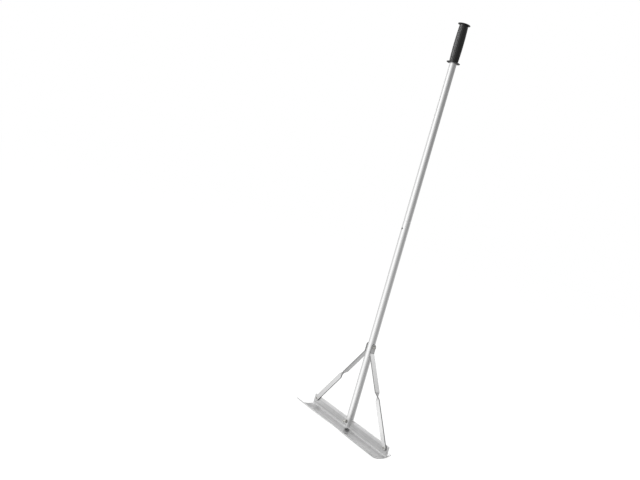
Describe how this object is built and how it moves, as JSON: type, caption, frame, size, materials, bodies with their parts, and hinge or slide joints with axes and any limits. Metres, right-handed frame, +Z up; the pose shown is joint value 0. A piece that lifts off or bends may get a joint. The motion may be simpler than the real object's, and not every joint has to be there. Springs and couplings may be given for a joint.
{
  "type": "landscape rake",
  "caption": "Landscape rake with a curved blade and upright rib, twisted flat braces, a sectional tubular handle joined by a snap button, and a flanged rubber grip.",
  "frame": {"origin": "on the handle's axis, half way along the grip between the outer faces of its flanges", "axes": "+Z up the handle, away from the blade; +X along the blade; -Y towards the wide front wing of the blade"},
  "size_m": [0.61, 0.1356, 1.9153],
  "materials": {
    "blade_aluminium": "extruded, satin, fine lines along its length",
    "tube_aluminium": "drawn, satin",
    "bar_aluminium": "rolled flat bar, satin",
    "grip_rubber": "moulded, matt",
    "zinc_steel": "zinc plated, slightly golden",
    "button_steel": "nickel plated",
    "spring_steel": "tempered spring steel"
  },
  "bodies": {
    "rake": {"blade": "blade_aluminium", "lower_tube": "tube_aluminium", "upper_tube": "tube_aluminium", "grip": "grip_rubber", "button_spring": "spring_steel", "left_brace": "bar_aluminium", "right_brace": "bar_aluminium", "handle_bolt": "zinc_steel", "handle_nut": "zinc_steel", "handle_washer": "zinc_steel", "brace_top_bolt": "zinc_steel", "brace_top_nut": "zinc_steel", "brace_top_washer": "zinc_steel", "left_blade_bolt": "zinc_steel", "left_blade_nut": "zinc_steel", "left_blade_washer": "zinc_steel", "right_blade_bolt": "zinc_steel", "right_blade_nut": "zinc_steel", "right_blade_washer": "zinc_steel"},
    "button": {"snap_button": "button_steel"}
  },
  "joints": [
    {"name": "button_press", "type": "slide", "parent": "rake", "child": "button", "axis": [0, 1, 0], "range_m": [0, 0.0048], "stiffness_N_per_m": 1500, "springref_m": -0.003, "deforming": ["button_spring"]}
  ]
}
